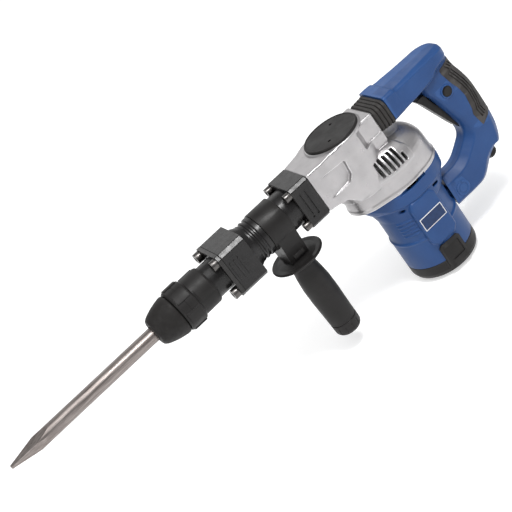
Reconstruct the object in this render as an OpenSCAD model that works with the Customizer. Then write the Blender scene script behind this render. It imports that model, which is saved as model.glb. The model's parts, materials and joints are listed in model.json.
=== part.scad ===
// Electric demolition hammer, built from its separate pieces.
// The impact line is the X axis, with the chisel pointing to +X and the origin in the mouth of the chuck.
// +Z is up, away from the motor, and +Y is the side of the lock button.

/* [Chisel] */
// Diameter of the chisel shank
shank_d = 18; // [17:0.1:18]
// Distance from the mouth of the chuck to the point
chisel_reach = 212; // [180:1:260]
// Length of the four ground flats of the point
point_l = 58; // [45:1:70]
// Distance that the chisel slides in when it is pressed on the work
chisel_travel = 12; // [8:0.5:12]

/* [Chuck] */
// Radius of the wide ring of the locking sleeve
ring_r = 27.5; // [27:0.1:28]
// Radius of the rear part of the locking sleeve
sleeve_r = 24.5; // [24:0.1:25]
// Distance that the locking sleeve is pulled back
sleeve_travel = 8; // [6:0.5:8]

/* [Barrel] */
// Half width of the eight-sided front block
block_h = 29.5; // [29:0.1:30]
// Half width of the eight-sided rear flange
flange_h = 28.5; // [28:0.1:29]
// Radius of the barrel under the handle collar
seat_r = 25.1; // [25:0.1:25.3]
// Radius of the hammer cylinder's bore
cylinder_r = 19; // [18.5:0.1:19.5]

/* [Gearbox] */
// Tooth module of the gear pair
gear_module = 1.25; // [1.25:0.05:1.3]
// Teeth on the motor pinion
pinion_teeth = 8; // [8:1:8]
// Teeth on the crank gear
gear_teeth = 43; // [43:1:44]
// Distance of the crank axis behind the mouth of the chuck
crank_back = 302.3; // [301:0.1:303]
// Throw of the crank
crank_throw = 12; // [10:0.5:12]
// Radius of the round service cap on top
cap_r = 35.6; // [35:0.1:36]

/* [Motor] */
// Radius of the blue motor barrel
motor_r = 44.5; // [44.5:0.1:45]
// Height of the lowest point of the motor, as a depth below the impact line
motor_depth = 194; // [192:1:200]
// Air gap between the armature and the field
air_gap = 1; // [0.8:0.1:1.2]

/* [Handles] */
// Half width of the rear grip
grip_h = 18; // [18:0.1:18.5]
// Largest radius of the side grip
side_grip_r = 18.5; // [18:0.1:19]
// Lowest point of the side grip, as a depth below the impact line
side_grip_depth = 171; // [168:1:175]
// Radius of the lock button
button_r = 6.4; // [6:0.1:6.4]

/* [Hidden] */
$fn = 64;
hull_fn = 32;
running = 0.05;             // radial clearance of a running fit
slip = 0.3;                 // clearance between loose neighbours
shank_r = shank_d / 2;
fit_r = shank_r - 0.2;      // the stretch of the shank that is ground to fit the holder
shank_end = -88;            // rear end of the chisel
tip_flat = 1.6;             // half width of the blunt tip
flat_turn = -19;            // turn of the ground flats about the shank
bar_front = -46;            // locking bars, front and rear faces
bar_rear = -56;
bar_h = 3;                  // half height of a locking bar
pocket_r = 6.7;             // depth line of the chisel's locking pocket
bar_lift = 2.2;             // outward travel of a locking bar
ramp = bar_lift / sleeve_travel;
holder_r = 16.5;            // outer radius of the tool holder
block_front = -101;         // faces along the impact line, front to rear
block_seam = -106;          // front plate against the barrel's block
block_rear = -128;          // rear face of the tool holder's foot
flange_a_rear = -140;
band_front = -166;
band_rear = -196;
flange_b_front = -213.5;
flange_b_rear = -239.7;
liner_front = -138;
liner_rear = -262;
liner_r = 22;
crank_x = -crank_back;
centre_distance = gear_module * (pinion_teeth + gear_teeth) / 2;
motor_x = crank_x - centre_distance;
pressure = 20;
chamber_r = 31;             // crank chamber
house_top = 31.5;
house_low = -25;
neck_h = 26;                // half width of the casting behind the cap
neck_rear = -347;
drum_top = -12;
joint_z = -64;              // joint between the casting and the motor housing
wall = 3;
gear_low = -37;
gear_high = -28;
plate_low = -52;            // bearing plate
plate_high = -42;
upper_bearing_z = -26;
small_bearing_z = -50;
tail_bearing_z = -186;
rod_half = 7.5;             // half height of the connecting rod's eyes
rod_l = 52;
pin_r = 5;
big_end_x = crank_x + crank_throw;
small_end_x = big_end_x + rod_l;
piston_front = small_end_x + 16;
piston_rear = small_end_x - 12;
piston_r = cylinder_r - running;
core_r = 25;                // armature stack
core_low = -146;
core_high = -96;
commutator_r = 13;
side_x = -184;              // axis of the side grip
pivot_x = -394;             // lower pivot of the rear handle
pivot_z = -130;
grip_wall = 4.4;
trigger_pivot = [-441, -66];
button_pos = [-442.6, -20.8];
gland_pos = [-454.5, 0, -128];
gland_tilt = 210;           // the gland points rearward and down
gland_bore_r = 4.2;
label_size = [34, 0.5, 17];
cap_screw_at = [-26.2, 26.2];
vent_pitch = 6.6;
front_screw_at = 21.5;       // cap screws, away from the impact line in Y and in Z
barrel_screw_at = [23, 21.5];
// circles that give the casting its oval plan, as [x, radius]
oval_places = [[crank_x, 35.5], [motor_x, 47.5], [motor_x - 16, 44.5]];

// side outlines of the rear handle, as [x, z] points
back_line = [[-468.4, 14], [-468, 4], [-475.5, -20], [-480, -50], [-480, -87], [-471.5, -118]];

handle_outline = concat(
  [[-367.5, 33.4], [-384, 33.4], [-388, 31], [-461, 31], [-467.5, 28.8], [-470, 24.5]],
  back_line,
  [
    [-424, -145], [-372, -145], [-372, -104.5], [-398, -104.5], [-409.7, -103.6], [-421.2, -95.7],
    [-432.4, -87.2], [-436.9, -80.8], [-437.2, -74], [-433.3, -52.7], [-427, -29.6], [-423.6, -18.5],
    [-418.7, -8], [-417.5, 3.4], [-394, 1.5], [-367.5, 0.3]
  ]
);

// Hollow inside the upper arm and the grip
handle_hollow = [
  [-366, 27.5], [-458, 27.5], [-464, 22], [-464.5, 4], [-471.5, -20], [-476, -50], [-476, -84],
  [-468, -114], [-455, -121.5], [-441.5, -113], [-444, -80], [-441, -66], [-431.3, -30], [-423, -8],
  [-421.5, 7], [-366, 5]
];

// The wide upper arm, from the side and from above
arm_zone = [[-367.5, 0], [-367.5, 60], [-500, 60], [-500, 14], [-448, 14], [-438, 5], [-394, 1.5]];
arm_half_plan = [
  [-367.4, 28], [-392, 26.6], [-432, 24.8], [-450, 24.2], [-458, 22.5], [-464, 19], [-468, 14], [-470.5, 7]
];

overmould_outline = [
  [-448, 5], [-448, 0], [-453, -18], [-457, -28], [-459.4, -41], [-457.6, -61], [-455, -67],
  [-459.2, -87], [-471, -81], [-490, -74], [-490, 12], [-461, 9]
];

screw_places = [[-392, 13], [-452, 13], [-466, -68], [-444, -104], [-416, -118]];

// ---- basic shapes ----

module rod_x(x0, x1, r) {
  translate([x0, 0, 0]) rotate([0, 90, 0]) cylinder(h = x1 - x0, r = r);
}

module cone_x(x0, x1, r0, r1) {
  translate([x0, 0, 0]) rotate([0, 90, 0]) cylinder(h = x1 - x0, r1 = r0, r2 = r1);
}

module tube_x(x0, x1, r_out, r_in) {
  difference() {
    rod_x(x0, x1, r_out);
    rod_x(x0 - 1, x1 + 1, r_in);
  }
}

module rod_z(x, z0, z1, r, y = 0) {
  translate([x, y, z0]) cylinder(h = z1 - z0, r = r);
}

module tube_z(x, z0, z1, r_out, r_in, y = 0) {
  difference() {
    rod_z(x, z0, z1, r_out, y);
    rod_z(x, z0 - 1, z1 + 1, r_in, y);
  }
}

module rod_y(x, z, y0, y1, r) {
  translate([x, y0, z]) rotate([-90, 0, 0]) cylinder(h = y1 - y0, r = r);
}

// Turned shape about the X axis, from [x, radius] points
module turned_x(points) {
  rotate([0, 90, 0]) rotate_extrude() polygon([for (p = points) [p[1], p[0]]]);
}

// Turned shape about a vertical axis, from [z, radius] points
module turned_z(x, points) {
  translate([x, 0, 0]) rotate_extrude() polygon([for (p = points) [p[1], p[0]]]);
}

// Side view outline in X and Z, given a thickness in Y
module slab(points, y0, y1) {
  translate([0, y1, 0]) rotate([90, 0, 0]) linear_extrude(y1 - y0) polygon(points);
}

module box(x0, x1, y0, y1, z0, z1) {
  translate([x0, y0, z0]) cube([x1 - x0, y1 - y0, z1 - z0]);
}

// Eight-sided block along X, of half width h, with corners cut by c
module eight_sided(x0, x1, h, c) {
  translate([x0, 0, 0]) rotate([90, 0, 90]) linear_extrude(x1 - x0)
    polygon([
      [h, c - h], [h, h - c], [h - c, h], [c - h, h],
      [-h, h - c], [-h, c - h], [c - h, -h], [h - c, -h]
    ]);
}

module four_corners(y, z) {
  for (sy = [-1, 1], sz = [-1, 1]) translate([0, sy * y, sz * z]) children();
}

// Cap screw along X, with its head towards +X and a hexagon socket
module cap_screw_x(seat, length, r, head_r, head_l) {
  difference() {
    union() {
      rod_x(seat - length, seat, r);
      rod_x(seat, seat + head_l, head_r);
    }
    translate([seat + head_l * 0.45, 0, 0]) rotate([0, 90, 0])
      cylinder(h = head_l, r = head_r * 0.5, $fn = 6);
  }
}

// Pan head screw from the -Y side
module pan_screw_y(x, z, y_head, length, r, head_r) {
  rod_y(x, z, y_head, y_head + 2, head_r);
  rod_y(x, z, y_head + 2, y_head + length, r);
}

// Ball bearing on a vertical axis: outer race, inner race and separate balls
module ball_bearing(x, z0, width, r_in, r_out, balls) {
  mid = (r_in + r_out) / 2;
  ball = (r_out - r_in) * 0.23;
  race = (r_out - r_in) * 0.3;
  groove_r = ball + 0.1;
  difference() {
    union() {
      tube_z(x, z0, z0 + width, r_in + race, r_in);
      tube_z(x, z0, z0 + width, r_out, r_out - race);
    }
    translate([x, 0, z0 + width / 2]) rotate_extrude() translate([mid, 0]) circle(r = groove_r, $fn = 32);
  }
  for (i = [0:balls - 1])
    translate([x, 0, z0 + width / 2]) rotate([0, 0, i * 360 / balls]) translate([mid, 0, 0])
      sphere(r = ball, $fn = 24);
}

// Coil spring along X, swept as one closed tube
module coil_x(x0, x1, r, wire_r, turns) {
  sides = 6;
  steps = turns * 14;
  pitch = (x1 - x0 - 2 * wire_r) / steps;
  points = [
    for (i = [0:steps], k = [0:sides - 1])
      let (a = i * 360 / 14, b = k * 360 / sides, d = r + wire_r * cos(b))
        [x0 + wire_r + i * pitch + wire_r * sin(b), d * cos(a), d * sin(a)]
  ];
  tube = [
    for (i = [0:steps - 1], k = [0:sides - 1])
      let (n = (k + 1) % sides)
        [i * sides + k, i * sides + n, (i + 1) * sides + n, (i + 1) * sides + k]
  ];
  first = [for (k = [sides - 1:-1:0]) k];
  last = [for (k = [0:sides - 1]) steps * sides + k];
  polyhedron(points, concat(tube, [first, last]));
}

// ---- gear teeth ----

function involute(a) = tan(a) - a * PI / 180;

// Half angle of a tooth at radius r, in degrees
function tooth_half(r, r_pitch, r_base, half_pitch) =
  half_pitch + (involute(pressure) - involute(acos(min(1, r_base / r)))) * 180 / PI;

function polar(r, a) = [r * cos(a), r * sin(a)];

// Gear outline: shift moves the profile outwards, lash thins each tooth
function gear_outline(teeth, shift, add, lash) =
  let (
    r_pitch = gear_module * teeth / 2,
    r_base = r_pitch * cos(pressure),
    r_tip = r_pitch + gear_module * add,
    r_root = r_pitch - gear_module * (1.25 - shift),
    r_low = max(r_base, r_root),
    half_pitch = (gear_module * (PI / 2 + 2 * shift * tan(pressure)) - lash) / (2 * r_pitch) * 180 / PI,
    flank = [for (k = [0:3]) r_low + (r_tip - r_low) * k / 3],
    half = [for (r = flank) tooth_half(r, r_pitch, r_base, half_pitch)]
  )
  [
    for (i = [0:teeth - 1])
      let (c = i * 360 / teeth)
        each concat(
          [polar(r_root, c - half[0])],
          [for (k = [0:3]) polar(flank[k], c - half[k])],
          [for (k = [3:-1:0]) polar(flank[k], c + half[k])],
          [polar(r_root, c + half[0])]
        )
  ];

// ---- chuck and impact train ----

module chisel() {
  tip = chisel_reach;
  shoulder = tip - point_l;
  flats = [
    [shank_end - 1, -shank_r - 1], [shoulder, -shank_r], [tip, -tip_flat],
    [tip, tip_flat], [shoulder, shank_r], [shank_end - 1, shank_r + 1]
  ];
  color("dimgray") difference() {
    intersection() {
      union() {
        cone_x(shank_end, shank_end + 1.5, fit_r - 1.5, fit_r);
        rod_x(shank_end + 1.5, 0, fit_r);
        rod_x(0, tip, shank_r);
      }
      rotate([flat_turn, 0, 0]) slab(flats, -2 * shank_r, 2 * shank_r);
      rotate([flat_turn + 90, 0, 0]) slab(flats, -2 * shank_r, 2 * shank_r);
    }
    for (side = [0, 180]) rotate([side, 0, 0]) {
      box(bar_rear - 0.5, bar_front + chisel_travel + 0.5, pocket_r, shank_r + 1, -bar_h - 0.2, bar_h + 0.2);
      box(shank_end - 1, -34, -2.3, 2.3, pocket_r + 0.4, shank_r + 1);
    }
  }
}

module dust_cap() {
  color([0.13, 0.13, 0.14]) turned_x([
    [-0.6, shank_r + 0.6], [-0.6, 14.6], [-1.6, 16.8], [-5, 19.2], [-10, 21.3], [-16, 23.2], [-23, 25],
    [-30, 26.2], [-32.4, 26.2], [-33.4, 25.4], [-33.4, 22.6], [-37.6, 22.6], [-37.6, holder_r],
    [-14, holder_r], [-14, shank_r + 0.6]
  ]);
}

module tool_holder() {
  color("gray") difference() {
    turned_x([
      [-14, 0], [-14, holder_r], [-100, holder_r], [-100, 19], [block_rear, 19], [block_rear, 0]
    ]);
    rod_x(-107, -10, fit_r + running);
    rod_x(block_rear - 1, -106, 15 + running);
    box(bar_rear - 0.2, bar_front + 0.2, -20, 20, -bar_h - 0.2, bar_h + 0.2);
  }
  for (side = [0, 180]) rotate([side, 0, 0])
    color("gray") box(-84, -62, -2, 2, pocket_r + 0.7, shank_r + 1);
}

module locking_bar(side) {
  color("silver") intersection() {
    box(bar_rear, bar_front, side > 0 ? pocket_r + 0.2 : -30, side > 0 ? 30 : -pocket_r - 0.2, -bar_h, bar_h);
    cone_x(bar_rear, bar_front, 17.1, 17.1 + ramp * (bar_front - bar_rear));
  }
}

module locking_bar_left() { locking_bar(1); }

module locking_bar_right() { locking_bar(-1); }

module cam_ring() {
  color("silver") turned_x([
    [-38, 23.4], [-38, 17.4 + ramp * 18], [bar_rear, 17.4], [-57, holder_r + running],
    [-66, holder_r + running], [-66, 21.9], [-60, 21.9], [-60, 23.4]
  ]);
}

module locking_sleeve() {
  color([0.15, 0.15, 0.16]) {
    turned_x([
      [-34.6, 23.4], [-34.6, 26.4], [-36, ring_r], [-56, ring_r], [-58, sleeve_r], [-80, sleeve_r],
      [-83, sleeve_r - 1], [-83, 22], [-60, 22], [-60, 23.4]
    ]);
    for (turn = [20:60:320]) rotate([turn, 0, 0]) intersection() {
      tube_x(-55.4, -37.5, ring_r + 1.3, ring_r - 1);
      box(-60, -30, 0, 40, -7, 7);
    }
    for (turn = [50:120:290]) rotate([turn, 0, 0]) intersection() {
      tube_x(-79.2, -60.8, sleeve_r + 1.2, sleeve_r - 1);
      box(-90, -50, 0, 40, -8, 8);
    }
  }
}

module sleeve_spring() {
  color("silver") coil_x(-90, -66, 19, 0.9, 5);
}

module front_housing() {
  color([0.14, 0.14, 0.15]) difference() {
    union() {
      turned_x([
        [-90, holder_r], [-90, 20.4], [-75.5, 20.4], [-75.5, 21.6], [-101.5, 21.6], [-101.5, holder_r]
      ]);
      eight_sided(block_seam, block_front, block_h, 5);
    }
    rod_x(block_seam - 1, -100, 19);
    rod_x(-101.6, -89, holder_r);
    four_corners(front_screw_at, front_screw_at) rod_x(block_seam - 1, block_front + 1, 4.2);
  }
}

module front_screws() {
  color("silver") four_corners(front_screw_at, front_screw_at) cap_screw_x(block_front, 36, 4, 6.5, 8);
}

module beat_piece() {
  color("gray") turned_x([
    [-101.5, 0], [-101.5, 8], [-102.5, fit_r], [-116, fit_r], [-116, 14.7], [-126.5, 14.7],
    [-127.5, 10], [-149, 10], [-150, 9], [-150, 0]
  ]);
}

module recoil_ring() {
  color([0.1, 0.1, 0.1]) turned_x([
    [block_rear, 10.4], [block_rear, 18.5], [-129, 19], [-134, 19], [-134, 10.4]
  ]);
}

module barrel() {
  color([0.14, 0.14, 0.15]) difference() {
    union() {
      eight_sided(flange_a_rear, block_seam, block_h, 5);
      for (x = [-110.5, -116.5, -122.5], side = [-1, 1])
        box(x - 1, x + 1, side * block_h - 1, side * block_h + 1, -13, 14);
      cone_x(-147, flange_a_rear, 25.8, block_h);
      turned_x([
        [-139, 0], [-139, 25.8], [-150, 25.8], [-151, 24.6], [-153, 24.6], [-154, 25.9], [-156, 25.9],
        [-157, 24.8], [-159, 24.8], [-160, 26.2], [-165.6, 26.2], [-165.6, seat_r],
        [-196.4, seat_r], [-197, 24.6], [flange_b_front, 24.6], [flange_b_front, 0]
      ]);
      difference() {
        eight_sided(flange_b_rear, flange_b_front, flange_h, 4);
        for (x = [-220, -226, -232], side = [-1, 1])
          box(x - 1.4, x + 1.4, side * flange_h - 1.2, side * flange_h + 1.2, -17, 17);
      }
    }
    rod_x(-134, block_seam + 1, 19);
    rod_x(liner_front - 1, -133, 12);
    rod_x(flange_b_rear - 1, liner_front, liner_r);
    four_corners(front_screw_at, front_screw_at) rod_x(-138, block_seam + 1, 4);
    four_corners(barrel_screw_at[0], barrel_screw_at[1])
      rod_x(flange_b_rear - 1, flange_b_front + 1, 3.2);
  }
}

module barrel_screws() {
  color("silver")
    four_corners(barrel_screw_at[0], barrel_screw_at[1]) cap_screw_x(flange_b_front, 40, 3, 5.3, 8);
}

module cylinder_liner() {
  color("silver") difference() {
    tube_x(liner_rear, liner_front, liner_r, cylinder_r);
    for (turn = [0:90:270]) rotate([turn, 0, 0]) rod_z(-206, 10, 30, 2);
  }
}

module ram() {
  color("gray") turned_x([
    [-165, 0], [-165, 9], [-167, 10], [-178, 10], [-178, piston_r], [-188, piston_r],
    [-188, cylinder_r - 2.2], [-192, cylinder_r - 2.2], [-192, piston_r], [-202, piston_r], [-202, 0]
  ]);
}

module ram_ring() {
  color([0.1, 0.1, 0.1]) tube_x(-191.8, -188.2, piston_r, cylinder_r - 2.2);
}

module piston() {
  color("lightgray") difference() {
    turned_x([
      [piston_front, 0], [piston_front, piston_r], [piston_front - 5, piston_r],
      [piston_front - 5, cylinder_r - 2.2], [piston_front - 9, cylinder_r - 2.2],
      [piston_front - 9, piston_r], [piston_rear, piston_r], [piston_rear, 0]
    ]);
    box(piston_rear - 1, small_end_x + 10, -30, 30, -rod_half - 0.5, rod_half + 0.5);
    rod_z(small_end_x, -20, 20, pin_r);
  }
}

module piston_ring() {
  color([0.1, 0.1, 0.1]) tube_x(piston_front - 8.8, piston_front - 5.2, piston_r, cylinder_r - 2.2);
}

module rod_pins() {
  color("silver") {
    rod_z(small_end_x, -16, 16, pin_r);
    rod_z(big_end_x, -rod_half, rod_half + 2, pin_r);
  }
}

module connecting_rod() {
  color("gray") difference() {
    union() {
      rod_z(big_end_x, -rod_half, rod_half, 10.5);
      rod_z(small_end_x, -rod_half, rod_half, 8.5);
      box(big_end_x, small_end_x, -5.5, 5.5, -rod_half + 2, rod_half - 2);
    }
    for (x = [big_end_x, small_end_x]) rod_z(x, -20, 20, pin_r);
  }
}

module crankshaft() {
  color("gray") {
    turned_z(crank_x, [
      [-8.5, 0], [-8.5, 19], [-13, 19], [-13, 13], [-14, 13], [-14, 10 - running / 2],
      [upper_bearing_z - 0.5, 10 - running / 2], [upper_bearing_z - 0.5, 9], [gear_low - 1, 9],
      [gear_low - 1, 7.5], [-40, 7.5], [-40, 6 - running / 2], [-50, 6 - running / 2], [-50, 0]
    ]);
  }
}

module crank_gear() {
  color("silver") difference() {
    translate([crank_x, 0, gear_low]) rotate([0, 0, 180]) linear_extrude(gear_high - gear_low)
      polygon(gear_outline(gear_teeth, -0.5, 0.5, 0.12));
    rod_z(crank_x, gear_low - 1, gear_high + 1, 9);
    for (turn = [0:60:300]) translate([crank_x, 0, 0]) rotate([0, 0, turn])
      rod_z(16.5, gear_low - 1, gear_high + 1, 3.5);
  }
}

module crank_bearings() {
  color("silver") {
    ball_bearing(crank_x, upper_bearing_z, 12, 10, 21, 9);
    ball_bearing(crank_x, small_bearing_z, 8, 6, 14, 8);
  }
}

// ---- gearbox casting ----

// Oval plan of the casting around the gears and the fan, shrunk by inset
module oval(z0, z1, inset) {
  hull() {
    for (place = oval_places) rod_z(place[0], z0, z1, place[1] - inset, $fn = hull_fn * 2);
  }
}

// Oval drum with a sloping shoulder, from the joint up to its flat top
module drum(inset) {
  layers = [[joint_z, -43, 0], [-33, -32, 4], [-22, drum_top - 9, 13], [-14, drum_top, 24]];
  drop = inset * 0.8;
  hull() {
    for (layer = layers, place = oval_places)
      rod_z(place[0], layer[0] - drop, layer[1] - drop, place[1] - inset - layer[2], $fn = hull_fn);
  }
}

module front_casting() {
  plan = [
    [flange_b_rear, -flange_h + 0.6], [flange_b_rear, flange_h - 0.6], [-252, 29.5], [-276, 34.5],
    [crank_x, 37], [crank_x, -37], [-276, -34.5], [-252, -29.5]
  ];
  side = [
    [flange_b_rear, house_low - 1.4], [flange_b_rear, 27.4], [-262, 28.5], [-275, house_top - 1],
    [crank_x, house_top - 1], [crank_x, -42], [-275, -42], [-264, -29.5], [-250, house_low - 2.2]
  ];
  intersection() {
    translate([0, 0, -60]) linear_extrude(120) polygon(plan);
    slab(side, -50, 50);
  }
}

module gear_housing() {
  color([0.78, 0.78, 0.79]) difference() {
    union() {
      front_casting();
      rod_z(crank_x, -45, house_top, 37.4);
      box(neck_rear, crank_x, -neck_h, neck_h, -10, house_top - 1.5);
      drum(0);
    }
    difference() {
      drum(wall);
      rod_z(crank_x, plate_high, house_top, chamber_r + 4);
      rod_z(motor_x, plate_high, 0, 13);
      translate([0, 0, plate_high]) linear_extrude(60) polygon([
        [crank_x + 40, -26], [crank_x + 40, 26], [crank_x, 35], [crank_x, -35]
      ]);
    }
    rod_z(crank_x, -13.6, house_top + 1, chamber_r);
    rod_z(crank_x, upper_bearing_z, -13, 21);
    rod_z(crank_x, plate_high, -27, chamber_r);
    rod_z(crank_x, -28, -25.9, 17);
    rod_z(motor_x, plate_high, -25, 8.5);
    rod_z(crank_x, house_top - 6, house_top + 1, 33);
    rod_x(liner_rear, flange_b_rear + 1, liner_r);
    rod_x(crank_x, liner_rear + 1, cylinder_r + 0.5);
    four_corners(barrel_screw_at[0], barrel_screw_at[1]) rod_x(flange_b_front - 41, flange_b_rear + 1, 3);
    for (turn = [0, 1]) mirror([0, turn, 0]) {
      for (i = [0:5]) translate([i * vent_pitch, 0, 0]) box(-347.3, -343.4, 24, 60, -36, i == 0 ? -26 : -16);
      box(-353, -313, 40, 60, joint_z - 1, -61);
    }
    box(neck_rear - 1, neck_rear + 5, -neck_h + 5, neck_h - 5, 0, house_top - 7);
  }
}

module service_cap() {
  color([0.13, 0.13, 0.14]) difference() {
    union() {
      turned_z(crank_x, [
        [house_top, 0], [house_top, cap_r], [house_top + 2.6, cap_r], [house_top + 3.6, cap_r - 1.2],
        [house_top + 3.2, cap_r - 3], [house_top + 3.2, 0]
      ]);
      tube_z(crank_x, house_top - 5, house_top + 1, 33, 29);
    }
    for (side = [0, 180]) translate([crank_x, 0, 0]) rotate([0, 0, 54 + side])
      rod_z(19, house_top + 1, house_top + 5, 2.2);
  }
}

module bearing_plate() {
  color("silver") difference() {
    oval(plate_low, plate_high, wall + 1.6);
    rod_z(crank_x, small_bearing_z, plate_high + 1, 14);
    rod_z(crank_x, plate_low - 1, small_bearing_z + 1, 11);
    rod_z(motor_x, small_bearing_z, plate_high + 1, 14);
    rod_z(motor_x, plate_low - 1, small_bearing_z + 1, 11);
  }
}

// ---- motor ----

module pinion() {
  color("silver") difference() {
    translate([motor_x, 0, -38]) rotate([0, 0, 180 / pinion_teeth]) linear_extrude(12)
      polygon(gear_outline(pinion_teeth, 0.5, 1.3, 0.12));
    rod_z(motor_x, -39, -25, 2.6);
  }
}

module armature_shaft() {
  color("gray") turned_z(motor_x, [
    [-26, 0], [-26, 2.6], [-38, 2.6], [-38, 5], [-42, 5], [-42, 6 - running / 2], [-50, 6 - running / 2],
    [-50, 7], [-177, 7], [-177, 5 - running / 2], [tail_bearing_z, 5 - running / 2], [tail_bearing_z, 0]
  ]);
}

module armature_core() {
  color("darkgray") difference() {
    tube_z(motor_x, core_low, core_high, core_r, 7);
    for (turn = [0:30:330]) translate([motor_x, 0, 0]) rotate([0, 0, turn]) {
      rod_z(20, core_low - 1, core_high + 1, 3.4);
      box(21, core_r + 1, -1, 1, core_low - 1, core_high + 1);
    }
  }
}

module armature_winding() {
  color([0.72, 0.4, 0.2]) {
    turned_z(motor_x, [[core_high, 9], [core_high, 22], [-90, 21], [-86, 16], [-86, 9]]);
    turned_z(motor_x, [[core_low, 9], [core_low, 22], [-151, 21], [-154.5, 14], [-154.5, 9]]);
    for (turn = [0:30:330]) translate([motor_x, 0, 0]) rotate([0, 0, turn])
      rod_z(20, core_low - 1, core_high + 1, 3.2);
  }
}

module commutator() {
  color([0.75, 0.45, 0.25]) difference() {
    tube_z(motor_x, -173, -156, commutator_r, 7);
    for (turn = [0:15:345]) translate([motor_x, 0, 0]) rotate([0, 0, turn])
      box(commutator_r - 1.2, commutator_r + 1, -0.3, 0.3, -174, -155);
  }
}

module cooling_fan() {
  color([0.12, 0.12, 0.13]) {
    tube_z(motor_x, -74, -58, 11, 7);
    tube_z(motor_x, -62, -59.5, 38, 10.5);
    for (turn = [0:30:330]) translate([motor_x, 0, 0]) rotate([0, 0, turn])
      box(16, 37, -0.9, 0.9, -73, -61);
  }
}

module motor_bearings() {
  color("silver") {
    ball_bearing(motor_x, small_bearing_z, 8, 6, 14, 8);
    ball_bearing(motor_x, tail_bearing_z, 9, 5, 15, 7);
  }
}

module field_core() {
  inner_r = core_r + air_gap;
  color("darkgray") difference() {
    tube_z(motor_x, core_low, core_high, motor_r - wall, inner_r);
    for (turn = [35, 145, 215, 325]) translate([motor_x, 0, 0]) rotate([0, 0, turn])
      rod_z(34, core_low - 1, core_high + 1, 5.6);
  }
}

module field_coils() {
  coil_r = 34;
  color([0.7, 0.38, 0.2]) {
    for (turn = [35, 145, 215, 325]) translate([motor_x, 0, 0]) rotate([0, 0, turn])
      rod_z(coil_r, core_low - 5, core_high + 5, 5.2);
    for (turn = [-35, 145], z = [core_low - 8, core_high])
      translate([motor_x, 0, z]) rotate([0, 0, turn]) rotate_extrude(angle = 70)
        translate([coil_r - 5.2, 0]) square([10.4, 8]);
  }
}

module brush_carrier() {
  color([0.2, 0.2, 0.2]) {
    tube_z(motor_x, -176, -173.2, 31, 17);
    for (side = [0, 180]) translate([motor_x, 0, 0]) rotate([0, 0, side]) difference() {
      box(-5, 5, 15, 36, -174, -157);
      box(-3.1, 3.1, 14, 37, -170.1, -160.9);
    }
  }
}

module carbon_brushes() {
  color([0.08, 0.08, 0.08]) for (side = [0, 180]) translate([motor_x, 0, 0]) rotate([0, 0, side])
    box(-3, 3, commutator_r + slip, 31, -170, -161);
}

// Skirt that carries the oval of the casting down to the round motor barrel
module skirt(inset) {
  skirt_top = inset > 0 ? joint_z + 1 : joint_z;
  hull() {
    for (place = [[crank_x, 25], [motor_x, 47.5], [motor_x - 16, 44.5]])
      rod_z(place[0], joint_z - 4, skirt_top, place[1] - inset, $fn = hull_fn);
    for (place = [[motor_x, motor_r + 0.3], [motor_x - 16, 43.5]])
      rod_z(place[0], -97 - inset * 0.2, -92, place[1] - inset, $fn = hull_fn);
  }
}

module cover_panel() {
  slab([
    [-312.5, -91], [-316, -84.5], [-343, -84.5], [-352, -91],
    [-352, -142], [-345, -149], [-319, -149], [-312.5, -142]
  ], 30, 46);
}

module motor_housing() {
  color([0.13, 0.29, 0.55]) difference() {
    union() {
      skirt(0);
      rod_z(motor_x, -132, -95, motor_r);
      rod_z(motor_x, -171.8, -131, motor_r + 0.7);
      cover_panel();
      mirror([0, 1, 0]) cover_panel();
      box(motor_x - 58, motor_x - 40, -8, 8, pivot_z - 7, pivot_z + 7);
      rod_y(pivot_x, pivot_z, -8, 8, 9);
    }
    skirt(wall);
    difference() {
      rod_z(motor_x, -172, -90, motor_r - wall);
      for (x = cap_screw_at, y = cap_screw_at) rod_z(motor_x + x, -172, -158, 5, y);
    }
    rod_y(pivot_x, pivot_z, -9, 9, pin_r);
    for (x = cap_screw_at, y = cap_screw_at) rod_z(motor_x + x, -173, -159, 1.5, y);
  }
}

module label_plate() {
  color([0.1, 0.16, 0.32]) translate([-331.5 - label_size[0] / 2, 46, -122])
    cube(label_size);
}

module end_cap() {
  low = -motor_depth;
  color([0.13, 0.13, 0.14]) difference() {
    union() {
      turned_z(motor_x, [
        [-172, 0], [-172, motor_r + 0.9], [low + 12, motor_r + 0.7], [low + 6, motor_r - 1.5],
        [low + 2, motor_r - 6], [low, motor_r - 12], [low, 0]
      ]);
      for (side = [-1, 1]) slab([
        [-346, low + 12], [-346, -153], [-343, -150], [-319, -150], [-316, -153], [-316, low + 12]
      ], side > 0 ? 45.3 : -47, side > 0 ? 47 : -45.3);
      for (side = [-1, 1]) slab([
        [-346, low + 12], [-346, -172.2], [-316, -172.2], [-316, low + 12]
      ], side > 0 ? 40 : -47, side > 0 ? 47 : -40);
    }
    difference() {
      rod_z(motor_x, low + 5, -171, motor_r - wall);
      tube_z(motor_x, low, -177, 19, 15);
      for (x = cap_screw_at, y = cap_screw_at) rod_z(motor_x + x, low, -172, 5, y);
    }
    rod_z(motor_x, tail_bearing_z, -171, 15);
    for (x = cap_screw_at, y = cap_screw_at) {
      rod_z(motor_x + x, low - 1, -160, 1.8, y);
      rod_z(motor_x + x, low - 1, low + 7, 4, y);
    }
  }
}

module end_cap_screws() {
  color("silver") for (x = cap_screw_at, y = cap_screw_at) {
    rod_z(motor_x + x, -motor_depth + 7, -160, 1.5, y);
    rod_z(motor_x + x, -motor_depth + 4, -motor_depth + 7, 3.6, y);
  }
}

// ---- side handle ----

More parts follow.
